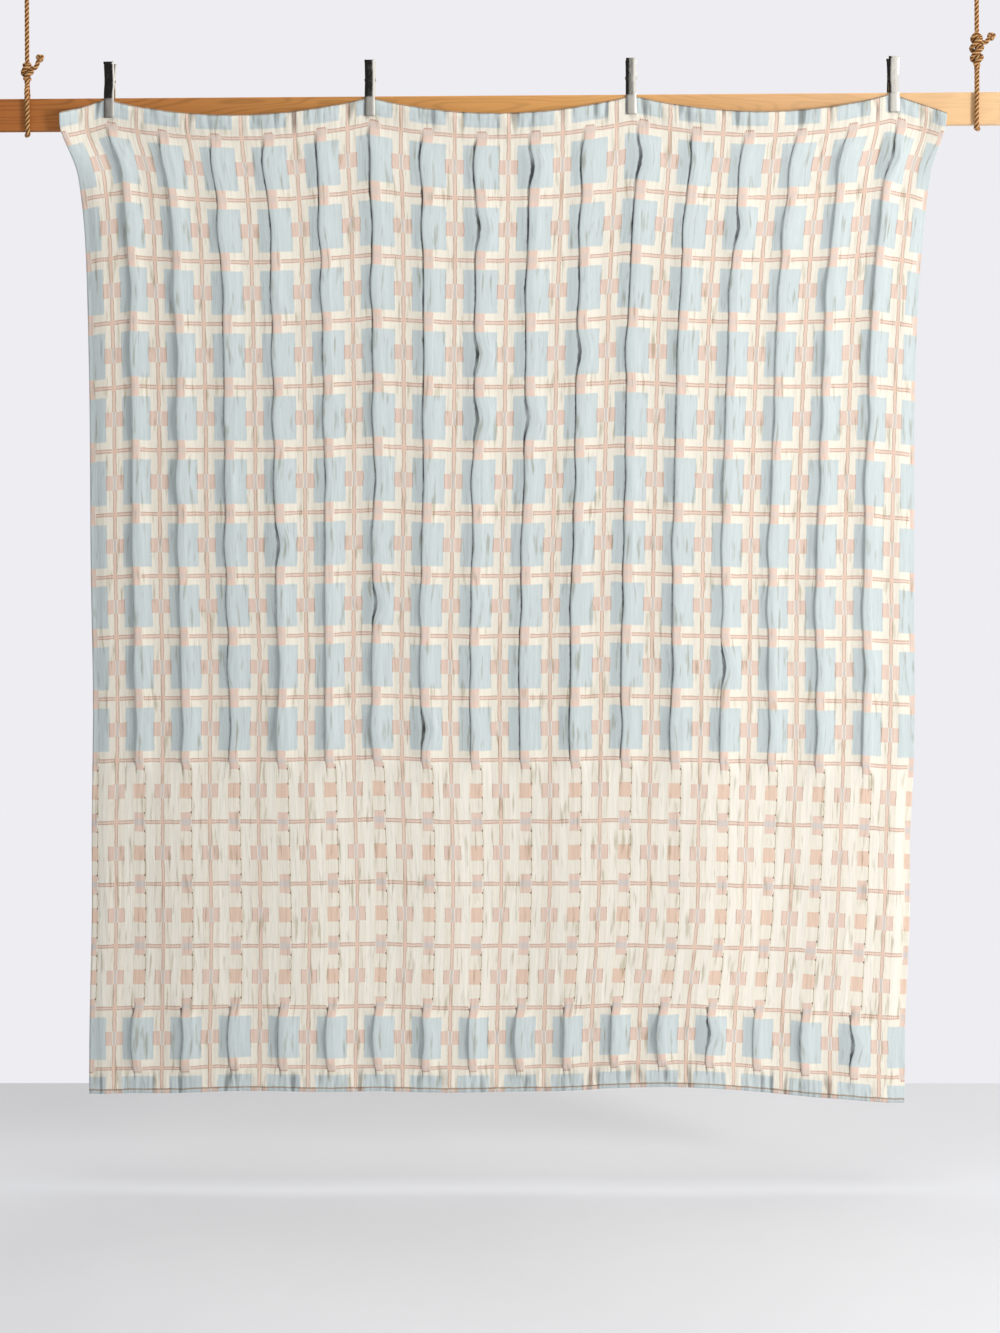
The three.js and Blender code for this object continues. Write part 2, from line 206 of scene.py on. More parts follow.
def weave_rulers(tree):
    """The rulers that the chart reads, and the two running counts, columns across and lines down."""
    place = add(tree, "UVMap", uv_map="weave")
    soft = add(tree, "TexNoise", {"Vector": place, "Scale": 55.0, "Detail": 2.0}, out=1)
    shift = add(tree, "VectorMath", {0: soft, 1: (0.5, 0.5, 0.5)}, operation="SUBTRACT")
    small = add(tree, "VectorMath", {0: shift, "Scale": 0.0045}, operation="SCALE")
    moved = add(tree, "VectorMath", {0: place, 1: small}, operation="ADD")
    x = add(tree, "SeparateXYZ", {0: moved}, out=0)
    y = add(tree, "SeparateXYZ", {0: moved}, out=1)
    across = add(tree, "Math", {0: x, 1: 1000 / COLUMN_MM}, operation="MULTIPLY")
    down = add(tree, "Math", {0: y, 1: 1000 / LINE_MM}, operation="MULTIPLY")

    def ruler(count, offset, pitch):
        moved_count = add(tree, "Math", {0: count, 1: offset}, operation="ADD")
        share = add(tree, "Math", {0: moved_count}, operation="FRACT")
        centred = add(tree, "Math", {0: share, 1: 0.5}, operation="SUBTRACT")
        return add(tree, "Math", {0: centred, 1: pitch}, operation="MULTIPLY")

    rulers = {"across": across, "down": down}
    rulers["column"] = ruler(across, 0.5, COLUMN_MM)
    rulers["line"] = ruler(down, 0.5, LINE_MM)
    rulers["row"] = ruler(down, 0.0, LINE_MM)
    rulers["gap"] = add(tree, "Math", {0: ruler(across, 0.0, COLUMN_MM)}, operation="ABSOLUTE")
    rulers["line_far"] = add(tree, "Math", {0: rulers["line"]}, operation="ABSOLUTE")
    rulers["row_far"] = add(tree, "Math", {0: rulers["row"]}, operation="ABSOLUTE")
    stitches = add(tree, "Math", {0: across, 1: STITCHES_IN_COLUMN}, operation="MULTIPLY")
    rulers["stitch"] = add(tree, "Math", {0: stitches}, operation="FRACT")
    teeth = add(tree, "Math", {0: rulers["stitch"], 1: 0.55}, operation="GREATER_THAN")
    row_far = rulers["row_far"]
    rulers["row_toothed"] = add(tree, "Math", {0: teeth, 1: 2.0, 2: row_far}, operation="MULTIPLY_ADD")
    return rulers


def weave_zones(tree, rulers):
    """Where each group of chart entries is woven: 1 inside the zone, 0 outside."""
    down = rulers["down"]
    middle_line = LAST_LINE / 2
    middle_column = COLUMNS / 2
    pleated_half = middle_column - 0.5
    cream_middle = (CREAM_FROM + CREAM_TO) / 2
    cream_half = (CREAM_TO - CREAM_FROM) / 2
    cream = add(tree, "Math", {0: down, 1: cream_middle, 2: cream_half}, operation="COMPARE")
    block = add(tree, "Math", {0: down, 1: middle_line, 2: middle_line + 0.06}, operation="COMPARE")
    upper_pinch = add(tree, "Math", {0: down, 1: -0.07, 2: 0.012}, operation="COMPARE")
    lower_pinch = add(tree, "Math", {0: down, 1: 15.07, 2: 0.012}, operation="COMPARE")
    off_middle = add(tree, "Math", {0: down, 1: middle_line}, operation="SUBTRACT")
    from_middle = add(tree, "Math", {0: off_middle}, operation="ABSOLUTE")
    strip = add(tree, "MapRange", {"Value": from_middle, "From Min": 7.45, "From Max": 7.7})
    pleated_top = add(tree, "MapRange", {"Value": down, "From Min": -0.05, "From Max": 0.2})
    pleated_end = add(tree, "MapRange", {"Value": down, "From Min": 15.05, "From Max": 14.9})
    pleated_rows = add(tree, "Math", {0: pleated_top, 1: pleated_end}, operation="MULTIPLY")
    across = rulers["across"]
    pleated_columns = add(tree, "Math", {0: across, 1: middle_column, 2: pleated_half}, operation="COMPARE")
    return {
        "strip": strip,
        "cream": cream,
        "blue": add(tree, "Math", {0: 1.0, 1: cream}, operation="SUBTRACT"),
        "block": block,
        "pinch": add(tree, "Math", {0: upper_pinch, 1: lower_pinch}, operation="MAXIMUM"),
        "pleated": add(tree, "Math", {0: pleated_rows, 1: pleated_columns}, operation="MULTIPLY"),
        "hem": add(tree, "Math", {0: from_middle, 1: 7.895, 2: 0.014}, operation="COMPARE"),
        "all": None,
    }


def charted_colour(tree, rulers, zones):
    colour = linear(YARN["cream"])
    for zone, readings, yarn in CHART:
        mask = zones[zone]
        for ruler, middle, half in readings:
            reading = {0: rulers[ruler], 1: float(middle), 2: float(half)}
            inside = add(tree, "Math", reading, operation="COMPARE")
            mask = inside if mask is None else add(tree, "Math", {0: mask, 1: inside}, operation="MULTIPLY")
        colour = add(tree, "Mix", {0: mask, 6: colour, 7: linear(YARN[yarn])}, out=2, data_type="RGBA")
    return colour


def light_in_throat(tree, place, rulers, zones):
    """The share of light that reaches the cloth: less in the throat of each pleat, where it doubles back."""
    from_throat = add(tree, "Math", {0: rulers["column"], 1: THROAT_MM}, operation="ADD")
    from_throat = add(tree, "Math", {0: from_throat}, operation="ABSOLUTE")
    shut = add(
        tree, "MapRange",
        {"Value": from_throat, "From Min": 2.8, "From Max": 5.2, "To Min": 1.0, "To Max": 0.0},
    )
    shut = add(tree, "Math", {0: shut, 1: zones["blue"]}, operation="MULTIPLY")
    shut = add(tree, "Math", {0: shut, 1: zones["pleated"]}, operation="MULTIPLY")
    # The throats are shut more tightly in some places than in others, 125 mm apart across and 62 mm down.
    tightness = stretched_noise(tree, place, (8.0, 16.0, 1.0), 1.0)
    tightness = add(
        tree, "MapRange",
        {"Value": tightness, "From Min": 0.35, "From Max": 0.6, "To Min": 0.42, "To Max": 0.9},
    )
    shut = add(tree, "Math", {0: shut, 1: tightness}, operation="MULTIPLY")
    return add(tree, "Math", {0: 1.0, 1: shut}, operation="SUBTRACT")


def painted_crease_shade(tree, place):
    """Painted shade: a darker tint in the short sharp creases between the puckers, 11 mm apart across and 91
    mm long.
    """
    crease = stretched_noise(tree, place, (95.0, 11.0, 1.0), 2.0)
    crease = add(tree, "MapRange", {"Value": crease, "From Min": 0.28, "From Max": 0.42})
    tints = {0: crease, 6: linear("#d9d5ca"), 7: linear("#ffffff")}
    return add(tree, "Mix", tints, out=2, data_type="RGBA")


def cotton_double_cloth():
    """Two cotton cloths woven as one on a jacquard loom: dead matt, soft, with fine puckers down the warp."""
    material, tree = new_material("cotton_double_cloth")
    rulers = weave_rulers(tree)
    zones = weave_zones(tree, rulers)
    colour = charted_colour(tree, rulers, zones)
    place = add(tree, "UVMap", uv_map="weave")

    # Puckers: about 13 mm apart across and 140 mm long down the warp, and finer ones a third as wide.
    pucker = stretched_noise(tree, place, (75.0, 7.0, 1.0), 2.0, 0.55)
    fine = stretched_noise(tree, place, (210.0, 14.0, 1.0), 3.0, 0.6)
    # Yarns: 3.2 mm apart, coarser than the real 0.8 mm so that they show at all.
    yarn = {"Vector": place, "Scale": 98.0, "Distortion": 1.5, "Detail": 1.0}
    warp = add(tree, "TexWave", yarn, wave_type="BANDS", bands_direction="X")
    weft = add(tree, "TexWave", yarn, wave_type="BANDS", bands_direction="Y")
    yarns = add(tree, "Math", {0: warp, 1: weft}, operation="MULTIPLY")

    # Painted shade and yarn colour: the colour is a little darker in the hollows of the puckers and fine
    # puckers and lighter on their crests, in streaks down the warp.
    fine_pucker_shading = add(
        tree, "MapRange",
        {"Value": fine, "From Min": 0.3, "From Max": 0.7, "To Min": 0.965, "To Max": 1.025},
    )
    pucker_shading = add(
        tree, "MapRange",
        {"Value": pucker, "From Min": 0.3, "From Max": 0.7, "To Min": 0.975, "To Max": 1.02},
    )
    tone = add(tree, "Math", {0: fine_pucker_shading, 1: pucker_shading}, operation="MULTIPLY")
    open_share = light_in_throat(tree, place, rulers, zones)
    crease_shade = painted_crease_shade(tree, place)
    # Gathers in the strips above the first line and below the last: about 19 mm apart, 3 mm deep, with
    # painted shade darkening the colour in their hollows by up to a half.
    gather = stretched_noise(tree, place, (52.0, 7.0, 1.0), 1.0, 0.4)
    gathered = add(tree, "Math", {0: gather, 1: zones["strip"]}, operation="MULTIPLY")
    # Painted shade in the hollows of the gathers.
    pressed = add(
        tree, "MapRange",
        {"Value": gather, "From Min": 0.42, "From Max": 0.3, "To Min": 0.0, "To Max": 0.5},
    )
    pressed = add(tree, "Math", {0: pressed, 1: zones["strip"]}, operation="MULTIPLY")
    pressed = add(tree, "Math", {0: 1.0, 1: pressed}, operation="SUBTRACT")
    tone = add(tree, "Math", {0: tone, 1: pressed}, operation="MULTIPLY")
    tone = add(tree, "Math", {0: tone, 1: open_share}, operation="MULTIPLY")
    # Painted shade: the charted colour is darkened in the short creases.
    shaded = add(tree, "VectorMath", {0: colour, 1: crease_shade}, operation="MULTIPLY")
    shaded = add(tree, "VectorMath", {0: shaded, "Scale": tone}, operation="SCALE")

    # Height in metres: puckers, fine puckers, yarns and gathers.
    height = add(tree, "Math", {0: pucker, 1: 0.0022}, operation="MULTIPLY")
    for relief, depth in ((fine, 0.0006), (yarns, 0.00012), (gathered, 0.008)):
        height = add(tree, "Math", {0: relief, 1: depth, 2: height}, operation="MULTIPLY_ADD")
    normal = add(tree, "Bump", {"Height": height, "Strength": 1.0, "Distance": 1.0})
    shader = add(
        tree,
        "BsdfPrincipled",
        {
            "Base Color": shaded, "Roughness": 0.92, "Specular IOR Level": 0.2, "Sheen Weight": 0.12,
            "Sheen Roughness": 0.5, "Normal": normal,
        },
    )
    close_material(tree, shader)
    return material


def oiled_pine():
    """A planed and oiled pine batten with long grain lines, painted darker at its left end and lighter at its
    right, as the light falls from the right.
    """
    material, tree = new_material("oiled_pine")
    place = add(tree, "TexCoord", out=3)
    along = add(tree, "SeparateXYZ", {0: place}, out=0)
    # Painted light: the base colour runs from dark at the left end to light at the right.
    painted_light_along = add(
        tree, "MapRange",
        {"Value": along, "From Min": rail_low.x, "From Max": rail_high.x, "To Min": 0.0, "To Max": 1.0},
    )
    base = ramp(
        tree, painted_light_along,
        [(0.0, "#ad652c"), (0.3, "#c08446"), (0.55, "#d9a05e"), (0.8, "#deb180"), (1.0, "#ecc797")],
    )
    # Growth rings cut at a low angle: long nested curves, 6 to 15 mm apart, some meeting in a point.
    rings = stretched_noise(tree, place, (2.6, 9.0, 17.0), 1.0, 0.4)
    rings = add(tree, "Math", {0: rings, 1: 75.0}, operation="MULTIPLY")
    grain = add(tree, "Math", {0: rings}, operation="SINE")
    # Fibres: 1.4 mm apart and 110 mm long.
    fibre = stretched_noise(tree, place, (9.0, 700.0, 700.0), 3.0)
    # Painted light: the grain lines are darker towards the left end as well.
    dark_end = add(
        tree, "MapRange",
        {"Value": painted_light_along, "From Min": 0.1, "From Max": 0.9, "To Min": 0.76, "To Max": 0.95},
    )
    late = add(
        tree, "MapRange",
        {"Value": grain, "From Min": 0.1, "From Max": 1.0, "To Min": 1.0, "To Max": dark_end},
    )
    speck = add(
        tree, "MapRange",
        {"Value": fibre, "From Min": 0.3, "From Max": 0.7, "To Min": 0.94, "To Max": 1.05},
    )
    tone = add(tree, "Math", {0: late, 1: speck}, operation="MULTIPLY")
    colour = add(tree, "VectorMath", {0: base, "Scale": tone}, operation="SCALE")
    height = add(tree, "Math", {0: fibre, 1: 0.00008}, operation="MULTIPLY")
    normal = add(tree, "Bump", {"Height": height, "Distance": 1.0})
    shader = add(
        tree, "BsdfPrincipled",
        {"Base Color": colour, "Roughness": 0.5, "Specular IOR Level": 0.4, "Normal": normal},
    )
    close_material(tree, shader)
    return material


def manila_rope():
    """Three-strand manila: brown-gold leaf fibre, dull, with painted light and shade: lighter on the crowns
    of the strands and dark in the grooves between them.
    """
    material, tree = new_material("manila_rope")
    place = add(tree, "UVMap", uv_map="lay")
    strand_x = add(tree, "SeparateXYZ", {0: place}, out=0)
    # Painted light and shade: the colour follows each strand's crown, light on top and dark down in the
    # grooves.
    crown = add(tree, "Math", {0: strand_x, 1: TURN}, operation="MULTIPLY")
    crown = add(tree, "Math", {0: crown}, operation="COSINE")
    fibre = stretched_noise(tree, place, (26.0, 160.0, 1.0), 4.0, 0.65)
    mixed = add(tree, "Math", {0: crown, 1: 0.34, 2: fibre}, operation="MULTIPLY_ADD")
    colour = ramp(tree, mixed, [(0.1, "#4a2c12"), (0.32, "#7d522a"), (0.6, "#b88550"), (0.95, "#dfb888")])
    height = add(tree, "Math", {0: fibre, 1: 0.0009}, operation="MULTIPLY")
    normal = add(tree, "Bump", {"Height": height, "Distance": 1.0})
    shader = add(
        tree, "BsdfPrincipled",
        {"Base Color": colour, "Roughness": 0.88, "Specular IOR Level": 0.25, "Normal": normal},
    )
    close_material(tree, shader)
    return material


STRAP_HALF_MM = 12.0
# The jaw is rubbed dull where it holds cloth, from just over the rail's top to just under it.
RUBBED_FROM = 2
RUBBED_TO = -4


def plated_steel(name, roughness, middle=None):
    """Pressed steel, bright plated and a little scuffed; a strap, given its middle, has rolled long edges."""
    material, tree = new_material(name)
    place = add(tree, "TexCoord", out=3)
    cloud = add(tree, "TexNoise", {"Vector": place, "Scale": 90.0, "Detail": 4.0})
    rough = add(
        tree, "MapRange",
        {
            "Value": cloud, "From Min": 0.3, "From Max": 0.7,
            "To Min": roughness * 0.6, "To Max": roughness * 1.7,
        },
    )
    upward = add(tree, "SeparateXYZ", {0: place}, out=2)
    rubbed = add(
        tree, "MapRange",
        {
            "Value": upward, "From Min": RAIL_TOP + RUBBED_FROM * MM, "From Max": RAIL_TOP + RUBBED_TO * MM,
            "To Min": 0.0, "To Max": 0.34,
        },
    )
    rough = add(tree, "Math", {0: rough, 1: rubbed}, operation="ADD")
    height = add(tree, "Math", {0: cloud, 1: 0.0003}, operation="MULTIPLY")
    if middle is not None:
        across = add(tree, "SeparateXYZ", {0: place}, out=0)
        off_middle = add(tree, "Math", {0: across, 1: middle}, operation="SUBTRACT")
        share = add(tree, "Math", {0: off_middle, 1: STRAP_HALF_MM * MM}, operation="DIVIDE")
        rolled = add(tree, "Math", {0: share, 1: 4.0}, operation="POWER")
        height = add(tree, "Math", {0: rolled, 1: -0.0016, 2: height}, operation="MULTIPLY_ADD")
    normal = add(tree, "Bump", {"Height": height, "Distance": 1.0, "Strength": 0.6})
    shader = add(
        tree, "BsdfPrincipled",
        {"Base Color": linear("#cfcdc8"), "Metallic": 1.0, "Roughness": rough, "Normal": normal},
    )
    close_material(tree, shader)
    return material


def studio_floor():
    """Painted concrete: nearly white, matt, a little cloudy."""
    material, tree = new_material("painted_concrete")
    place = add(tree, "TexCoord", out=3)
    cloud = add(tree, "TexNoise", {"Vector": place, "Scale": 1.3, "Detail": 4.0})
    colour = ramp(tree, cloud, [(0.3, "#e8eaf0"), (0.7, "#edeff5")])
    shader = add(
        tree, "BsdfPrincipled",
        {"Base Color": colour, "Roughness": 0.6, "Specular IOR Level": 0.3},
    )
    close_material(tree, shader)
    return material


# ---------------------------------------------------------------- shared makers


def mesh_piece(name, points, faces, material, uv, uv_name):
    """A piece from points in the frame's metres, with one UV place for each point."""
    mesh = bpy.data.meshes.new(name)
    mesh.from_pydata([tuple(p) for p in points], [], [tuple(f) for f in faces])
    layer = mesh.uv_layers.new(name=uv_name)
    index = np.empty(len(mesh.loops), dtype=np.int32)
    mesh.loops.foreach_get("vertex_index", index)
    layer.data.foreach_set("uv", np.asarray(uv, dtype=np.float32)[index].ravel())
    mesh.polygons.foreach_set("use_smooth", [True] * len(mesh.polygons))
    mesh.materials.append(material)
    mesh.update()
    piece = bpy.data.objects.new(name, mesh)
    bpy.context.scene.collection.objects.link(piece)
    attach(piece, "root")
    return piece


def smooth(low, high, value):
    """0 up to the first value, 1 past the second, with an S-curve between."""
    t = np.clip((np.asarray(value, dtype=float) - low) / (high - low), 0, 1)
    return t * t * (3 - 2 * t)


def through(route, count):
    """Points at even spacing on a smooth curve through the route's points."""
    knots = np.array([tuple(p) for p in route], dtype=float)
    ghost = np.vstack([2 * knots[0] - knots[1], knots, 2 * knots[-1] - knots[-2]])
    dense = []
    for i in range(1, len(ghost) - 2):
        a, b, c, d = ghost[i - 1 : i + 3]
        for t in np.linspace(0, 1, 24, endpoint=False):
            square = 2 * a - 5 * b + 4 * c - d
            cube = 3 * b - a - 3 * c + d
            dense.append(0.5 * (2 * b + (c - a) * t + square * t**2 + cube * t**3))
    dense.append(knots[-1])
    dense = np.array(dense)
    run = np.concatenate([[0], np.cumsum(np.linalg.norm(np.diff(dense, axis=0), axis=1))])
    at = np.linspace(0, run[-1], count)
    return np.column_stack([np.interp(at, run, dense[:, k]) for k in range(3)]), float(run[-1])


# ---------------------------------------------------------------- ropes

ROPE_DIAMETER = 11
STOPPER_DIAMETER = 9.5
STRANDS = 3
STRAND_LAY = 34
ROPE_SIDES = 24
FEWEST_RINGS = 8
# The section's radius at the bottom of a groove, and how much a strand's crown adds, as shares of the rope's.
GROOVE_SHARE = 0.66
CROWN_SHARE = 0.36


def rope_tube(name, route, material, diameter=ROPE_DIAMETER, step=2.6):
    """Three-strand rope along a route in metres: a round section with three grooves that turn along it."""
    _, length = through(route, FEWEST_RINGS)
    count = max(FEWEST_RINGS, int(length / (step * MM)))
    line, length = through(route, count)
    tangent = np.gradient(line, axis=0)
    tangent /= np.linalg.norm(tangent, axis=1)[:, None]
    side = np.cross(tangent[0], [0.0, 0.0, 1.0])
    if np.linalg.norm(side) < 0.3:
        side = np.cross(tangent[0], [0.0, 1.0, 0.0])
    points, uv = [], []
    for i, (centre, along) in enumerate(zip(line, tangent)):
        side = side - along * np.dot(side, along)
        side /= np.linalg.norm(side)
        up = np.cross(along, side)
        run = length * i / (count - 1)
        twist = TURN * run / (STRAND_LAY * MM)
        for k in range(ROPE_SIDES):
            angle = TURN * k / ROPE_SIDES
            strand = STRANDS * (angle - twist) / TURN
            crown = abs(math.cos(math.pi * (strand % 1)))
            radius = diameter * MM / 2 * (GROOVE_SHARE + CROWN_SHARE * math.sqrt(crown))
            points.append(centre + radius * (math.cos(angle) * side + math.sin(angle) * up))
            uv.append((strand, run))
    faces = []
    for i in range(count - 1):
        for k in range(ROPE_SIDES):
            n = (k + 1) % ROPE_SIDES
            a, b = i * ROPE_SIDES, (i + 1) * ROPE_SIDES
            faces.append((a + k, a + n, b + n, b + k))
    faces.append(tuple(range(ROPE_SIDES - 1, -1, -1)))
    faces.append(tuple((count - 1) * ROPE_SIDES + k for k in range(ROPE_SIDES)))
    return mesh_piece(name, points, faces, material, uv, "lay"), line, length


# Each rope's route in millimetres, as the solids have it: the loop's front in y and z, first from the knot's
# foot and then from the rail's top, and the tail and the stopper in x and z from the rail's top.
LOOP_FRONT = [(-6.2, -5), (-9, -14)]
LOOP_FRONT_LOW = [
    (-17, 20), (-23, 6), (-24.6, -10), (-24.6, -40),
    (-24.7, -60), (-24.7, -70), (-21.4, -79.9), (-12, -83.9),
]
ROPES = {
    "left": {
        "knot": (43, 90), "knot_radius": 8.5, "knot_turns": 0.9,
        "tail": [(16.6, 75.5), (19, 76.2), (22.6, 80.6), (25.9, 88.9)], "stopper": (31, 99),
    },
    "right": {
        "knot": (60, 146), "knot_radius": 10.5, "knot_turns": 1.6,
        "tail": [(19.25, 119.6), (21.5, 120.4), (24.4, 123), (26.7, 126.2)], "stopper": (34.6, 134.2),
    },
}
ROPE_GAP = 0.3
# How far in front of its middle and behind it the two strands of the loop leave the knot.
STRAND_OFFSET = 6.2
# How far the front of each loop lies in toward the cloth, and its back out from it, at the rail.
FRONT_SKEW = 5
BACK_SKEW = 4


def rope_shift(side):
    """How far a rope hangs from the rail's middle, in millimetres."""
    return (ROPE_X[side] - MIDDLE_X) / MM


def rope_route(side):
    """The whole rope: down from its boss, through the knot, round the rail, back to the knot and out."""
    plan = ROPES[side]
    foot, top = plan["knot"]
    start = (BOSS_FOOT - RAIL_TOP) / MM - ROPE_GAP
    route = [(0, 0, start + (top - start) * share) for share in (0, 0.25, 0.5, 0.75, 1)]
    route += [(0, -2, (foot + top) / 2), (0, -STRAND_OFFSET, foot - ROPE_GAP)]
    outward = -1 if side == "left" else 1
    loop = [(y, foot + z) for y, z in LOOP_FRONT] + LOOP_FRONT_LOW
    skewed = [(outward * min(1, (foot - z) / (foot + 20)), y, z) for y, z in loop]
    route += [(-FRONT_SKEW * share, y, z) for share, y, z in skewed]
    route += [(BACK_SKEW * share, -y, z) for share, y, z in reversed(skewed)]
    tail = [(x, 0, z) for x, z in plan["tail"]]
    tail_height = tail[0][2]
    route.append((0, STRAND_OFFSET, foot - ROPE_GAP))
    route.append((2, 5, foot + 0.6 * (tail_height - foot)))
    route.append((8, 2, tail_height - 2))
    stop_x, stop_z = plan["stopper"]
    route += tail + [(stop_x, 0, stop_z)]
    return [near_rail(rope_shift(side) + x, y, z) for x, y, z in route]


def knot_turns(side, material):
    """The wound turns of a knot: two strands that climb round the rope side by side."""
    plan = ROPES[side]
    foot, top = plan["knot"]
    half = ROPE_DIAMETER / 2
    core = 2
    start_angle = 0.6
    steps = 34
    pieces = []
    for strand in (0, 1):
        route = []
        for i in range(steps + 1):
            share = i / steps
            angle = TURN * (plan["knot_turns"] * share + strand / 2) + start_angle
            swell = math.sin(math.pi * share) ** 0.35
            radius = core + plan["knot_radius"] * swell * (1 + 0.1 * math.sin(3 * angle))
            z = foot + half + share * (top - foot - 2 * half)
            x = rope_shift(side) + radius * math.cos(angle)
            route.append(near_rail(x, radius * math.sin(angle), z))
        pieces.append(rope_tube(f"knot_{side}_strand_{strand + 1}", route, material, step=2.2)[0])
    return pieces


def stopper_knot(side, material):
    """A small overhand knot drawn tight on the end of the tail: a trefoil curve."""
    stop_x, stop_z = ROPES[side]["stopper"]
    size = 2.1
    thickness = 1.3
    steps = 48
    route = []
    for i in range(steps):
        t = TURN * i / steps
        x = math.sin(t) + 2 * math.sin(2 * t)
        y = math.cos(t) - 2 * math.cos(2 * t)
        z = -thickness * math.sin(3 * t)
        route.append(near_rail(rope_shift(side) + stop_x + size * x, size * z, stop_z + size * y))
    return rope_tube(f"stopper_{side}_turns", route, material, diameter=STOPPER_DIAMETER, step=2.0)[0]


def make_ropes(material):
    for side in ("left", "right"):
        route = rope_route(side)
        piece, line, length = rope_tube(f"rope_{side}", route, material)
        knots = knot_turns(side, material)
        stopper = stopper_knot(side, material)
        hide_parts(f"rope_{side}_fall", f"rope_{side}_loop", f"rope_{side}_tail")
        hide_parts(f"rope_{side}_knot")
        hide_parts(f"rope_{side}_stopper")


# ---------------------------------------------------------------- coverlet

# Millimetres, but for CLIP_COLUMNS, which says at what columns the clips hold the top edge.
CLOTH_MM = 2.0
CLIP_COLUMNS = (0.9, 5.9, 10.78, 15.77)
FIRST_LINE_DEPTH = 98.4
LAST_ROW_GATHER = 1.17
CLOTH_OFF_RAIL = 5.2
CLOTH_AT_CLIP = 1.8
SEED = 11
# The share of the cells where the pleat opens into a soft hump midway between two lines.
TURNED_BACK_SHARE = 0.09

# Places across one column, in millimetres of flat cloth from its middle, closest where the pleat turns.
CELL_PLACES = (
    -63, -53, -43, -35, -27, -20.5, -16.8, -14.6, -13.2, -11.8, -10.2, -8.6, -7.0, -5.2, -3,
    0.5, 5, 10, 15, 21, 28, 36, 43, 53,
)

# The pleat seen from above, for a column drawn in to 117 mm: flat place, then across and forward.
# The last row says how each place moves for every millimetre the column is wider than that.
USUAL_WIDTH = 117
PLEAT_FLAT = (-63, -43, -28.2, -16.4, -14.2, -12.7, -10.5, -7.5, -5.2, -1.2, 6.8, 18.9, 31.8, 43, 63)
PLEAT_ACROSS = (-58.5, -38.5, -24, -12.3, -10.0, -8.6, -9.4, -11.2, -10.2, -5.5, 2.5, 14, 26, 38, 58.5)
PLEAT_FORWARD = (0, 0, 3.8, 7.2, 7.2, 5.4, 7.6, 10.2, 12.0, 12.6, 11.6, 7.8, 3.2, 0, 0)
PLEAT_SPREAD = (-0.5, -0.5, -0.5, -0.5, -0.5, -0.5, -0.35, -0.1, -0.1, 0, 0.1, 0.25, 0.4, 0.5, 0.5)


def curve_at(flat, values):
    """A smooth curve through the pleat's places, read at any flat place."""
    x = np.array(PLEAT_FLAT, dtype=float)
    y = np.array(values, dtype=float)
    rise = np.diff(y) / np.diff(x)
    slope = np.concatenate([[rise[0]], (rise[1:] + rise[:-1]) / 2, [rise[-1]]])
    i = np.clip(np.searchsorted(x, flat, side="right") - 1, 0, len(x) - 2)
    wide = x[i + 1] - x[i]
    t = (flat - x[i]) / wide
    return (
        y[i] * (2 * t**3 - 3 * t**2 + 1)
        + slope[i] * wide * (t**3 - 2 * t**2 + t)
        + y[i + 1] * (3 * t**2 - 2 * t**3)
        + slope[i + 1] * wide * (t**3 - t**2)
    )


def hump(value, middle, reach):
    """1 at the middle, falling away on both sides as a bell curve."""
    return np.exp(-(((value - middle) / reach) ** 2))


def pleat_amount(line):
    """How far the pleats stand out down the cloth: wholly in the blue rows, not at all in the cream ones."""
    upper = smooth(-0.02, 0.3, line) * (1 - smooth(9.98, 10.22, line))
    lower = smooth(13.92, 14.15, line) * (1 - smooth(14.95, 15.12, line))
    return upper + lower


def sag_share(column):
    """0 where a clip holds the top edge, 1 midway between two clips, and the droop of each corner."""
    first, last = CLIP_COLUMNS[0], CLIP_COLUMNS[-1]
    share = np.zeros_like(column)
    for low, high in zip(CLIP_COLUMNS, CLIP_COLUMNS[1:]):
        t = (column - low) / (high - low)
        share = np.where((t >= 0) & (t <= 1), 4 * t * (1 - t), share)
    share = np.where(column < first, 0.85 * (first - column) / first, share)
    return np.where(column > last, 1.2 * (column - last) / (COLUMNS - last), share)


def depth_of(column, line):
    """How far below the rail's top the cloth hangs: it lifts at the clips, and its lower corners drop."""
    sag = sag_share(column)
    # Each clip lifts the cloth by 32 mm, and most of that is gone four rows down.
    lift = (20 * np.exp(-0.55 * line) + 12 * np.exp(-0.08 * line)) * (1 - sag)
    edge_flop = np.where(line < 0, 4 * sag * (line / TOP_LINE), 0)
    # The rows lie a few millimetres lower than the count says between the fourth line and the last.
    slack = (3 + 3 * smooth(5, 8, column)) * smooth(3, 4.5, line) * (1 - smooth(14, 15, line))
    slack = slack + 6 * hump(line, 6.5, 1.1)
    long_corner = 26 * smooth(12, 17.5, column) * np.sqrt(np.maximum(0, line) / LAST_LINE)
    long_corner = long_corner + 7 * (1 - smooth(0.5, 3, column)) * smooth(2, 4, line)
    # The hem rises in two shallow scallops.
    scallops = 16 * hump(column, 12.5, 2.1) + 6 * hump(column, 3.5, 1.5)
    plain = FIRST_LINE_DEPTH + LINE_MM * line
    return plain - lift + edge_flop + slack + long_corner - scallops * smooth(13, 15, line)


# Where the cloth swings sideways, in millimetres: how far, then the middle and reach of each swing,
# in columns from the cloth's middle and in depth.
SWINGS = (
    (-9, 0, 2.5, 1350, 350),
    (10, 3.9, 1.8, 1970, 180),
    (-6, 6.1, 1.5, 1170, 350),
    (8, -4.9, 1.2, 1385, 220),
    (-8, 8.7, 0.9, 1770, 160),
)


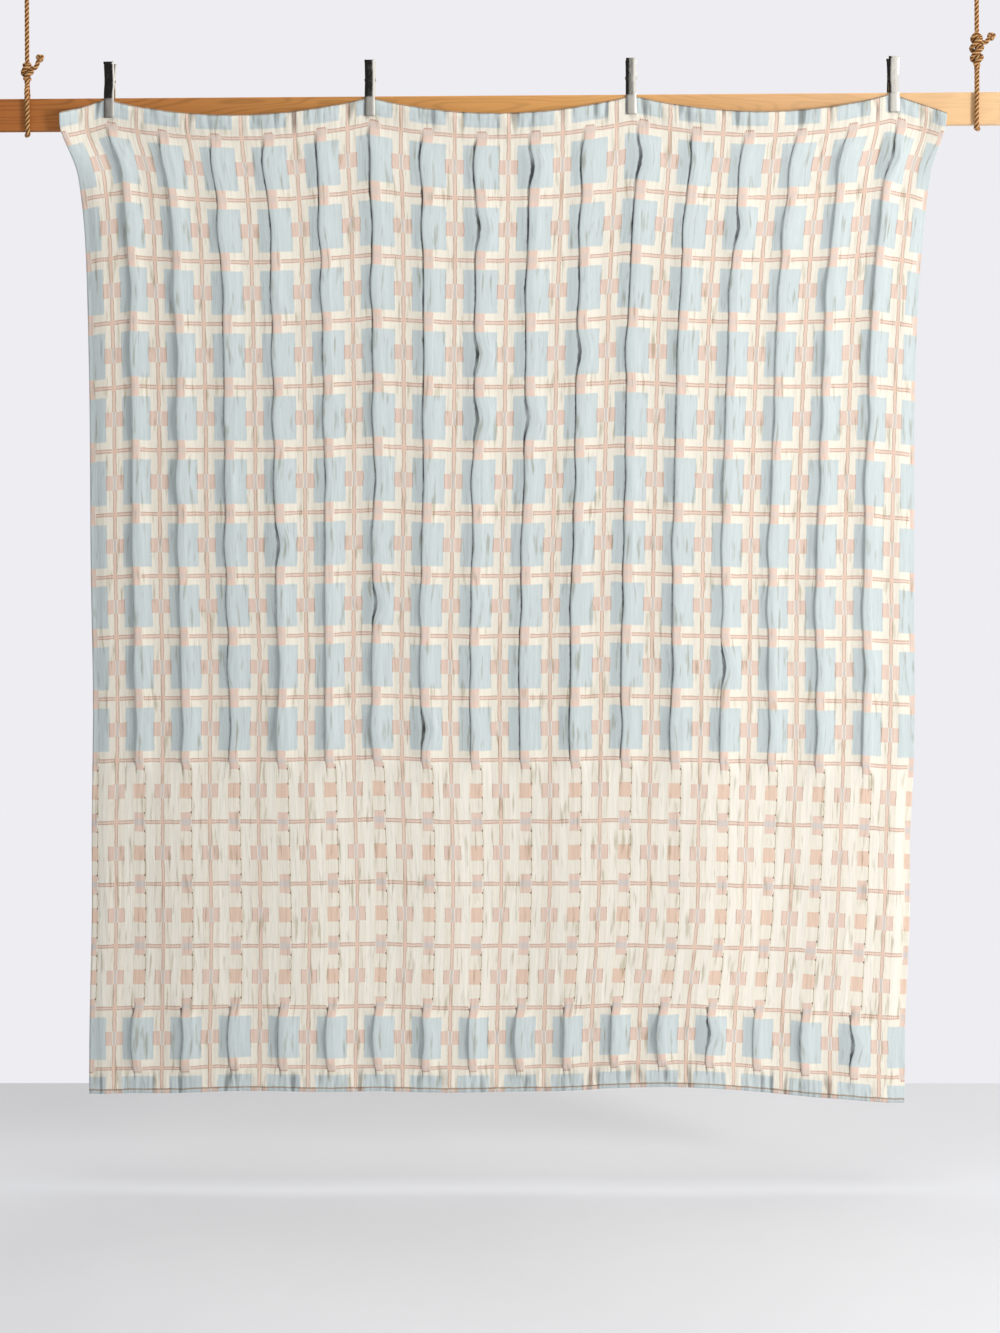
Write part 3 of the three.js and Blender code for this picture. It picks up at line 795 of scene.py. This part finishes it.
def across_of(column, depth):
    """Where a column falls across the width at a depth: the pitch tightens as the cloth gathers."""
    lower_fade = 1 - smooth(1400, 2250, depth)
    # A column takes 111 mm of width low down, 118 mm above, and up to 10 mm more near the top edge.
    pitch = 111.4 + 6.9 * lower_fade + 9.8 * np.exp(-np.maximum(0, depth - 160) / 350)
    # The columns far from the middle are drawn in more than the pitch says above, and less below.
    gather = 0.055 + 0.075 * smooth(60, 180, depth) * np.exp(-np.maximum(0, depth - 180) / 450)
    squeeze = gather * lower_fade - 0.025 * (1 - lower_fade)
    away = column - COLUMNS / 2
    inner = np.clip(away, -8, 8)
    outer = (away - inner) * np.where(away > 0, 90 + 34 * smooth(300, 2000, depth), 120)
    # The cloth's middle drifts to the left on its way down, with swings to either side.
    middle = 18.5 - 0.0115 * (depth - 165) - 4 * smooth(200, 600, depth) - 9 * smooth(1850, 2250, depth)
    for swing, far, wide, low, tall in SWINGS:
        middle = middle + swing * hump(away, far, wide) * hump(depth, low, tall)
    middle = middle - 9 * smooth(6, 8, away) * (1 - smooth(60, 160, depth))
    left_pull = 8 * smooth(-4, -6.5, away) * (1 - hump(depth, 1456, 260))
    return middle - left_pull + pitch * inner - squeeze * inner**3 + outer


def wave_of(column, line):
    """Broad soft waves, deeper towards the free hem."""
    broad = np.sin(0.83 * column + 0.4 + 0.05 * line)
    narrow = np.sin(2.3 * column + 1.9 - 0.11 * line)
    upper = smooth(0.2, 2, line) * 2 * np.sin(1.37 * column + 0.8)
    return smooth(-0.2, 15, line) * (7 * broad + 3 * narrow) + upper


def coverlet_surface(column, line):
    """The middle surface of the hanging cloth, for grids of column and line counts, in millimetres."""
    rng = np.random.default_rng(SEED)
    shape = (COLUMNS + 1, LAST_LINE + 2)
    wander = rng.uniform(-1, 1, shape)
    height = rng.uniform(0.8, 1.2, shape)
    turned_back = rng.random(shape) < TURNED_BACK_SHARE
    fold_place = rng.uniform(6, 30, shape)
    fold_height = rng.uniform(-1.5, 4.2, shape)
    fold_width = rng.uniform(3.0, 6.0, shape)

    centre = np.round(column).astype(int)
    row = np.clip(np.floor(line).astype(int) + 1, 0, shape[1] - 1)
    cell = (centre, row)
    flat = (column - centre) * COLUMN_MM
    inside = np.sin(math.pi * (line - np.floor(line))) ** 2
    full = 0.72 + 0.28 * np.sqrt(inside)
    amount = np.where((centre == 0) | (centre == COLUMNS), 0, pleat_amount(line))
    share = np.clip(amount, 0, 1)

    depth = depth_of(column, line)
    plain_x = across_of(column, depth)
    cell_low = across_of(np.maximum(0, centre - 0.5), depth)
    cell_high = across_of(np.minimum(COLUMNS, centre + 0.5), depth)
    extra = (cell_high - cell_low) - USUAL_WIDTH
    back = np.where(turned_back[cell], inside, 0)
    pleat_x = curve_at(flat, PLEAT_ACROSS) + curve_at(flat, PLEAT_SPREAD) * extra
    soft_x = flat * (USUAL_WIDTH + extra) / COLUMN_MM
    pleat_x = pleat_x * (1 - back) + soft_x * back
    near_tip = np.clip(1 - ((flat + 4) / 39) ** 2, 0, 1)
    wandering = (5.5 * wander[cell] * (1 - back) + 9 * back) * inside * near_tip
    pleat_x = (cell_low + cell_high) / 2 + pleat_x + wandering
    x = plain_x * (1 - share) + pleat_x * share
    soft_y = 12 * np.clip(1 - (flat / 43) ** 2, 0, 1)
    pleat_y = curve_at(flat, PLEAT_FORWARD) * (1 - back) + soft_y * back
    drawn_in = 1 - 0.02 * np.clip(extra, -16, 12)
    ridge = amount * pleat_y * full * (1 + (height[cell] - 1) * inside) * drawn_in
    fold_at = 11 + (fold_place[cell] - 11) * inside
    fold = fold_height[cell] * inside * hump(flat, fold_at, fold_width[cell]) * share

    clip_x = np.array([(place - MIDDLE_X) / MM for place in CLIP_X])
    to_clip = np.min(np.abs(x[..., None] - clip_x), axis=-1)
    held = (1 - smooth(40, 110, to_clip)) * (1 - smooth(60, 160, depth))
    rest = RAIL_FRONT / MM - CLOTH_OFF_RAIL + wave_of(column, line)
    pressed = RAIL_FRONT / MM - CLOTH_AT_CLIP
    tip = np.where(line < 0, 10 * sag_share(column) * (line / TOP_LINE), 0)
    # The side edges curl back below the first line, and the top corners stand off the rail.
    curl = 9 * (smooth(0.35, 0, column) + smooth(16.65, 17, column)) * smooth(0.2, 1.2, line)
    corners = 20 * smooth(0.75, 0, column) + 10 * smooth(16.4, 17, column)
    curl = curl - corners * (1 - smooth(0.3, 1.6, line))
    plain_y = rest - tip * (1 - held) + curl
    y = plain_y * (1 - held) + pressed * held - ridge - fold
    return x, y, -depth


def line_steps():
    """Rows of points down the cloth: close together where it is pleated, wider apart in the cream part."""
    spans = ((TOP_LINE, 0, 4), (0, 10.25, 82), (10.25, 13.9, 16), (13.9, 15.1, 10), (15.1, BOTTOM_LINE, 3))
    return np.unique(np.concatenate([np.linspace(low, high, count + 1) for low, high, count in spans]))


def make_coverlet(material):
    steps = [centre + place / COLUMN_MM for centre in range(COLUMNS + 1) for place in CELL_PLACES]
    columns = np.array([0.0] + [s for s in steps if 0.02 < s < COLUMNS - 0.02] + [float(COLUMNS)])
    column, line = np.meshgrid(columns, line_steps())
    middle = np.stack(coverlet_surface(column, line), axis=-1)
    across = np.gradient(middle, axis=1)
    down = np.gradient(middle, axis=0)
    normal = np.cross(down, across)
    normal /= np.linalg.norm(normal, axis=-1)[..., None]
    sides = [middle + normal * CLOTH_MM / 2, middle - normal * CLOTH_MM / 2]
    points = np.concatenate([side.reshape(-1, 3) for side in sides]) * MM
    points += np.array([MIDDLE_X, 0, RAIL_TOP])

    high, wide = column.shape
    front = np.arange(high * wide).reshape(high, wide)
    back = front + high * wide
    faces = []

    def strip(a, b):
        faces.extend(np.stack([a[:-1], b[:-1], b[1:], a[1:]], axis=-1).reshape(-1, 4).tolist())

    for j in range(high - 1):
        strip(front[j], front[j + 1])
        strip(back[j + 1], back[j])
    strip(back[0], front[0])
    strip(front[-1], back[-1])
    strip(front[:, 0], back[:, 0])
    strip(back[:, -1], front[:, -1])

    # The last half row is gathered, so a little more of the weave fits above the hem.
    woven_line = np.where(line > LAST_LINE, LAST_LINE + (line - LAST_LINE) * LAST_ROW_GATHER, line)
    uv = np.stack([column * COLUMN_MM * MM, woven_line * LINE_MM * MM], axis=-1).reshape(-1, 2)
    piece = mesh_piece("coverlet_cloth", points, faces, material, np.vstack([uv, uv]), "weave")
    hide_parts("coverlet")


# ---------------------------------------------------------------- carried-over pieces


def give(node, material):
    """Puts a material on a CAD piece and leaves its mesh as it is."""
    mesh = bpy.data.objects[node].data
    mesh.materials.clear()
    mesh.materials.append(material)


# ---------------------------------------------------------------- studio


# Floor: how far under the rail's top in millimetres, then its edges in metres.
FLOOR_DROP = 2594
FLOOR_HALF_WIDTH = 7
FLOOR_FRONT = -9
FLOOR_BACK = 1.0


def make_floor(material):
    height = near_rail(0, 0, -FLOOR_DROP).z
    left = MIDDLE_X - FLOOR_HALF_WIDTH
    right = MIDDLE_X + FLOOR_HALF_WIDTH
    corners = [(left, FLOOR_FRONT), (right, FLOOR_FRONT), (right, FLOOR_BACK), (left, FLOOR_BACK)]
    mesh = bpy.data.meshes.new("floor")
    mesh.from_pydata([(x, y, height) for x, y in corners], [], [(0, 1, 2, 3)])
    mesh.materials.append(material)
    floor = bpy.data.objects.new("floor", mesh)
    bpy.context.scene.collection.objects.link(floor)
    floor.visible_glossy = False


def area_light(name, place, aim, size, watts, code, mirrored):
    data = bpy.data.lights.new(name, "AREA")
    data.shape = "RECTANGLE"
    data.size, data.size_y = size
    data.energy = watts
    data.color = linear(code)[:3]
    light = bpy.data.objects.new(name, data)
    bpy.context.scene.collection.objects.link(light)
    light.location = place
    light.visible_glossy = mirrored
    light.rotation_euler = (Vector(aim) - Vector(place)).to_track_quat("-Z", "Y").to_euler()


def make_world():
    """A white studio: what the camera sees, what lights the cloth, and what bright metal mirrors."""
    world = bpy.data.worlds.new("studio")
    world.use_nodes = True
    tree = world.node_tree
    tree.nodes.clear()
    seen = add(tree, "Background", {"Color": linear("#eeedf2"), "Strength": 1.0})
    # The wall behind the cloth sends back more light than the room in front of it.
    direction = add(tree, "TexCoord")
    toward_wall = add(tree, "SeparateXYZ", {0: direction}, out=1)
    strength = add(
        tree, "MapRange",
        {"Value": toward_wall, "From Min": -0.1, "From Max": 0.2, "To Min": 0.31, "To Max": 0.85},
    )
    fill = add(tree, "Background", {"Color": linear("#f2f0ec"), "Strength": strength})
    # Metal mirrors an unlit room to the left and behind the camera, and white screens to the right.
    to_right = add(tree, "SeparateXYZ", {0: direction}, out=0)
    screen = add(
        tree, "MapRange",
        {"Value": to_right, "From Min": -0.02, "From Max": 0.16, "To Min": 0.03, "To Max": 1.5},
    )
    room = add(tree, "Background", {"Color": linear("#f4f2ee"), "Strength": screen})
    sight = add(tree, "LightPath", out=0)
    mirrored = add(tree, "LightPath", out=3)
    shader = add(tree, "MixShader", {0: mirrored, 1: fill, 2: room})
    shader = add(tree, "MixShader", {0: sight, 1: shader, 2: seen})
    node = tree.nodes.new("ShaderNodeOutputWorld")
    tree.links.new(shader, node.inputs["Surface"])
    bpy.context.scene.world = world


# Lights: a soft key from the right, level with the cloth, and a broad dim one overhead.
KEY_OFFSET = Vector((4.6, -4.2, 0.45))
KEY_SIZE = (1.2, 1.4)
KEY_WATTS = 232
OVERHEAD_HEIGHT = 1500
OVERHEAD_SIZE = (5.5, 3.2)
OVERHEAD_WATTS = 72


def make_studio():
    make_world()
    make_floor(studio_floor())
    centre = near_rail(0, 0, -1200)
    area_light("key", centre + KEY_OFFSET, centre, KEY_SIZE, KEY_WATTS, "#fffcf8", mirrored=True)
    over = near_rail(0, -300, OVERHEAD_HEIGHT)
    under = near_rail(0, -300, 0)
    area_light("overhead", over, under, OVERHEAD_SIZE, OVERHEAD_WATTS, "#ffffff", mirrored=False)
    bpy.context.scene.view_settings.view_transform = "Standard"


# ---------------------------------------------------------------- the whole

make_camera()
make_ropes(manila_rope())
make_coverlet(cotton_double_cloth())
steel = plated_steel("zinc_plated_steel", 0.35)
give("rail", oiled_pine())
for number in CLIP_NUMBERS:
    chrome = plated_steel(f"chromed_steel_strap_{number}", 0.1, CLIP_X[number - 1])
    give(f"clip_{number}_front_leg", chrome)
    give(f"clip_{number}_back_leg", chrome)
    give(f"clip_{number}_pin", steel)
    give(f"clip_{number}_spring", steel)
for side in ("left", "right"):
    give(f"ceiling_boss_{side}", steel)
make_studio()
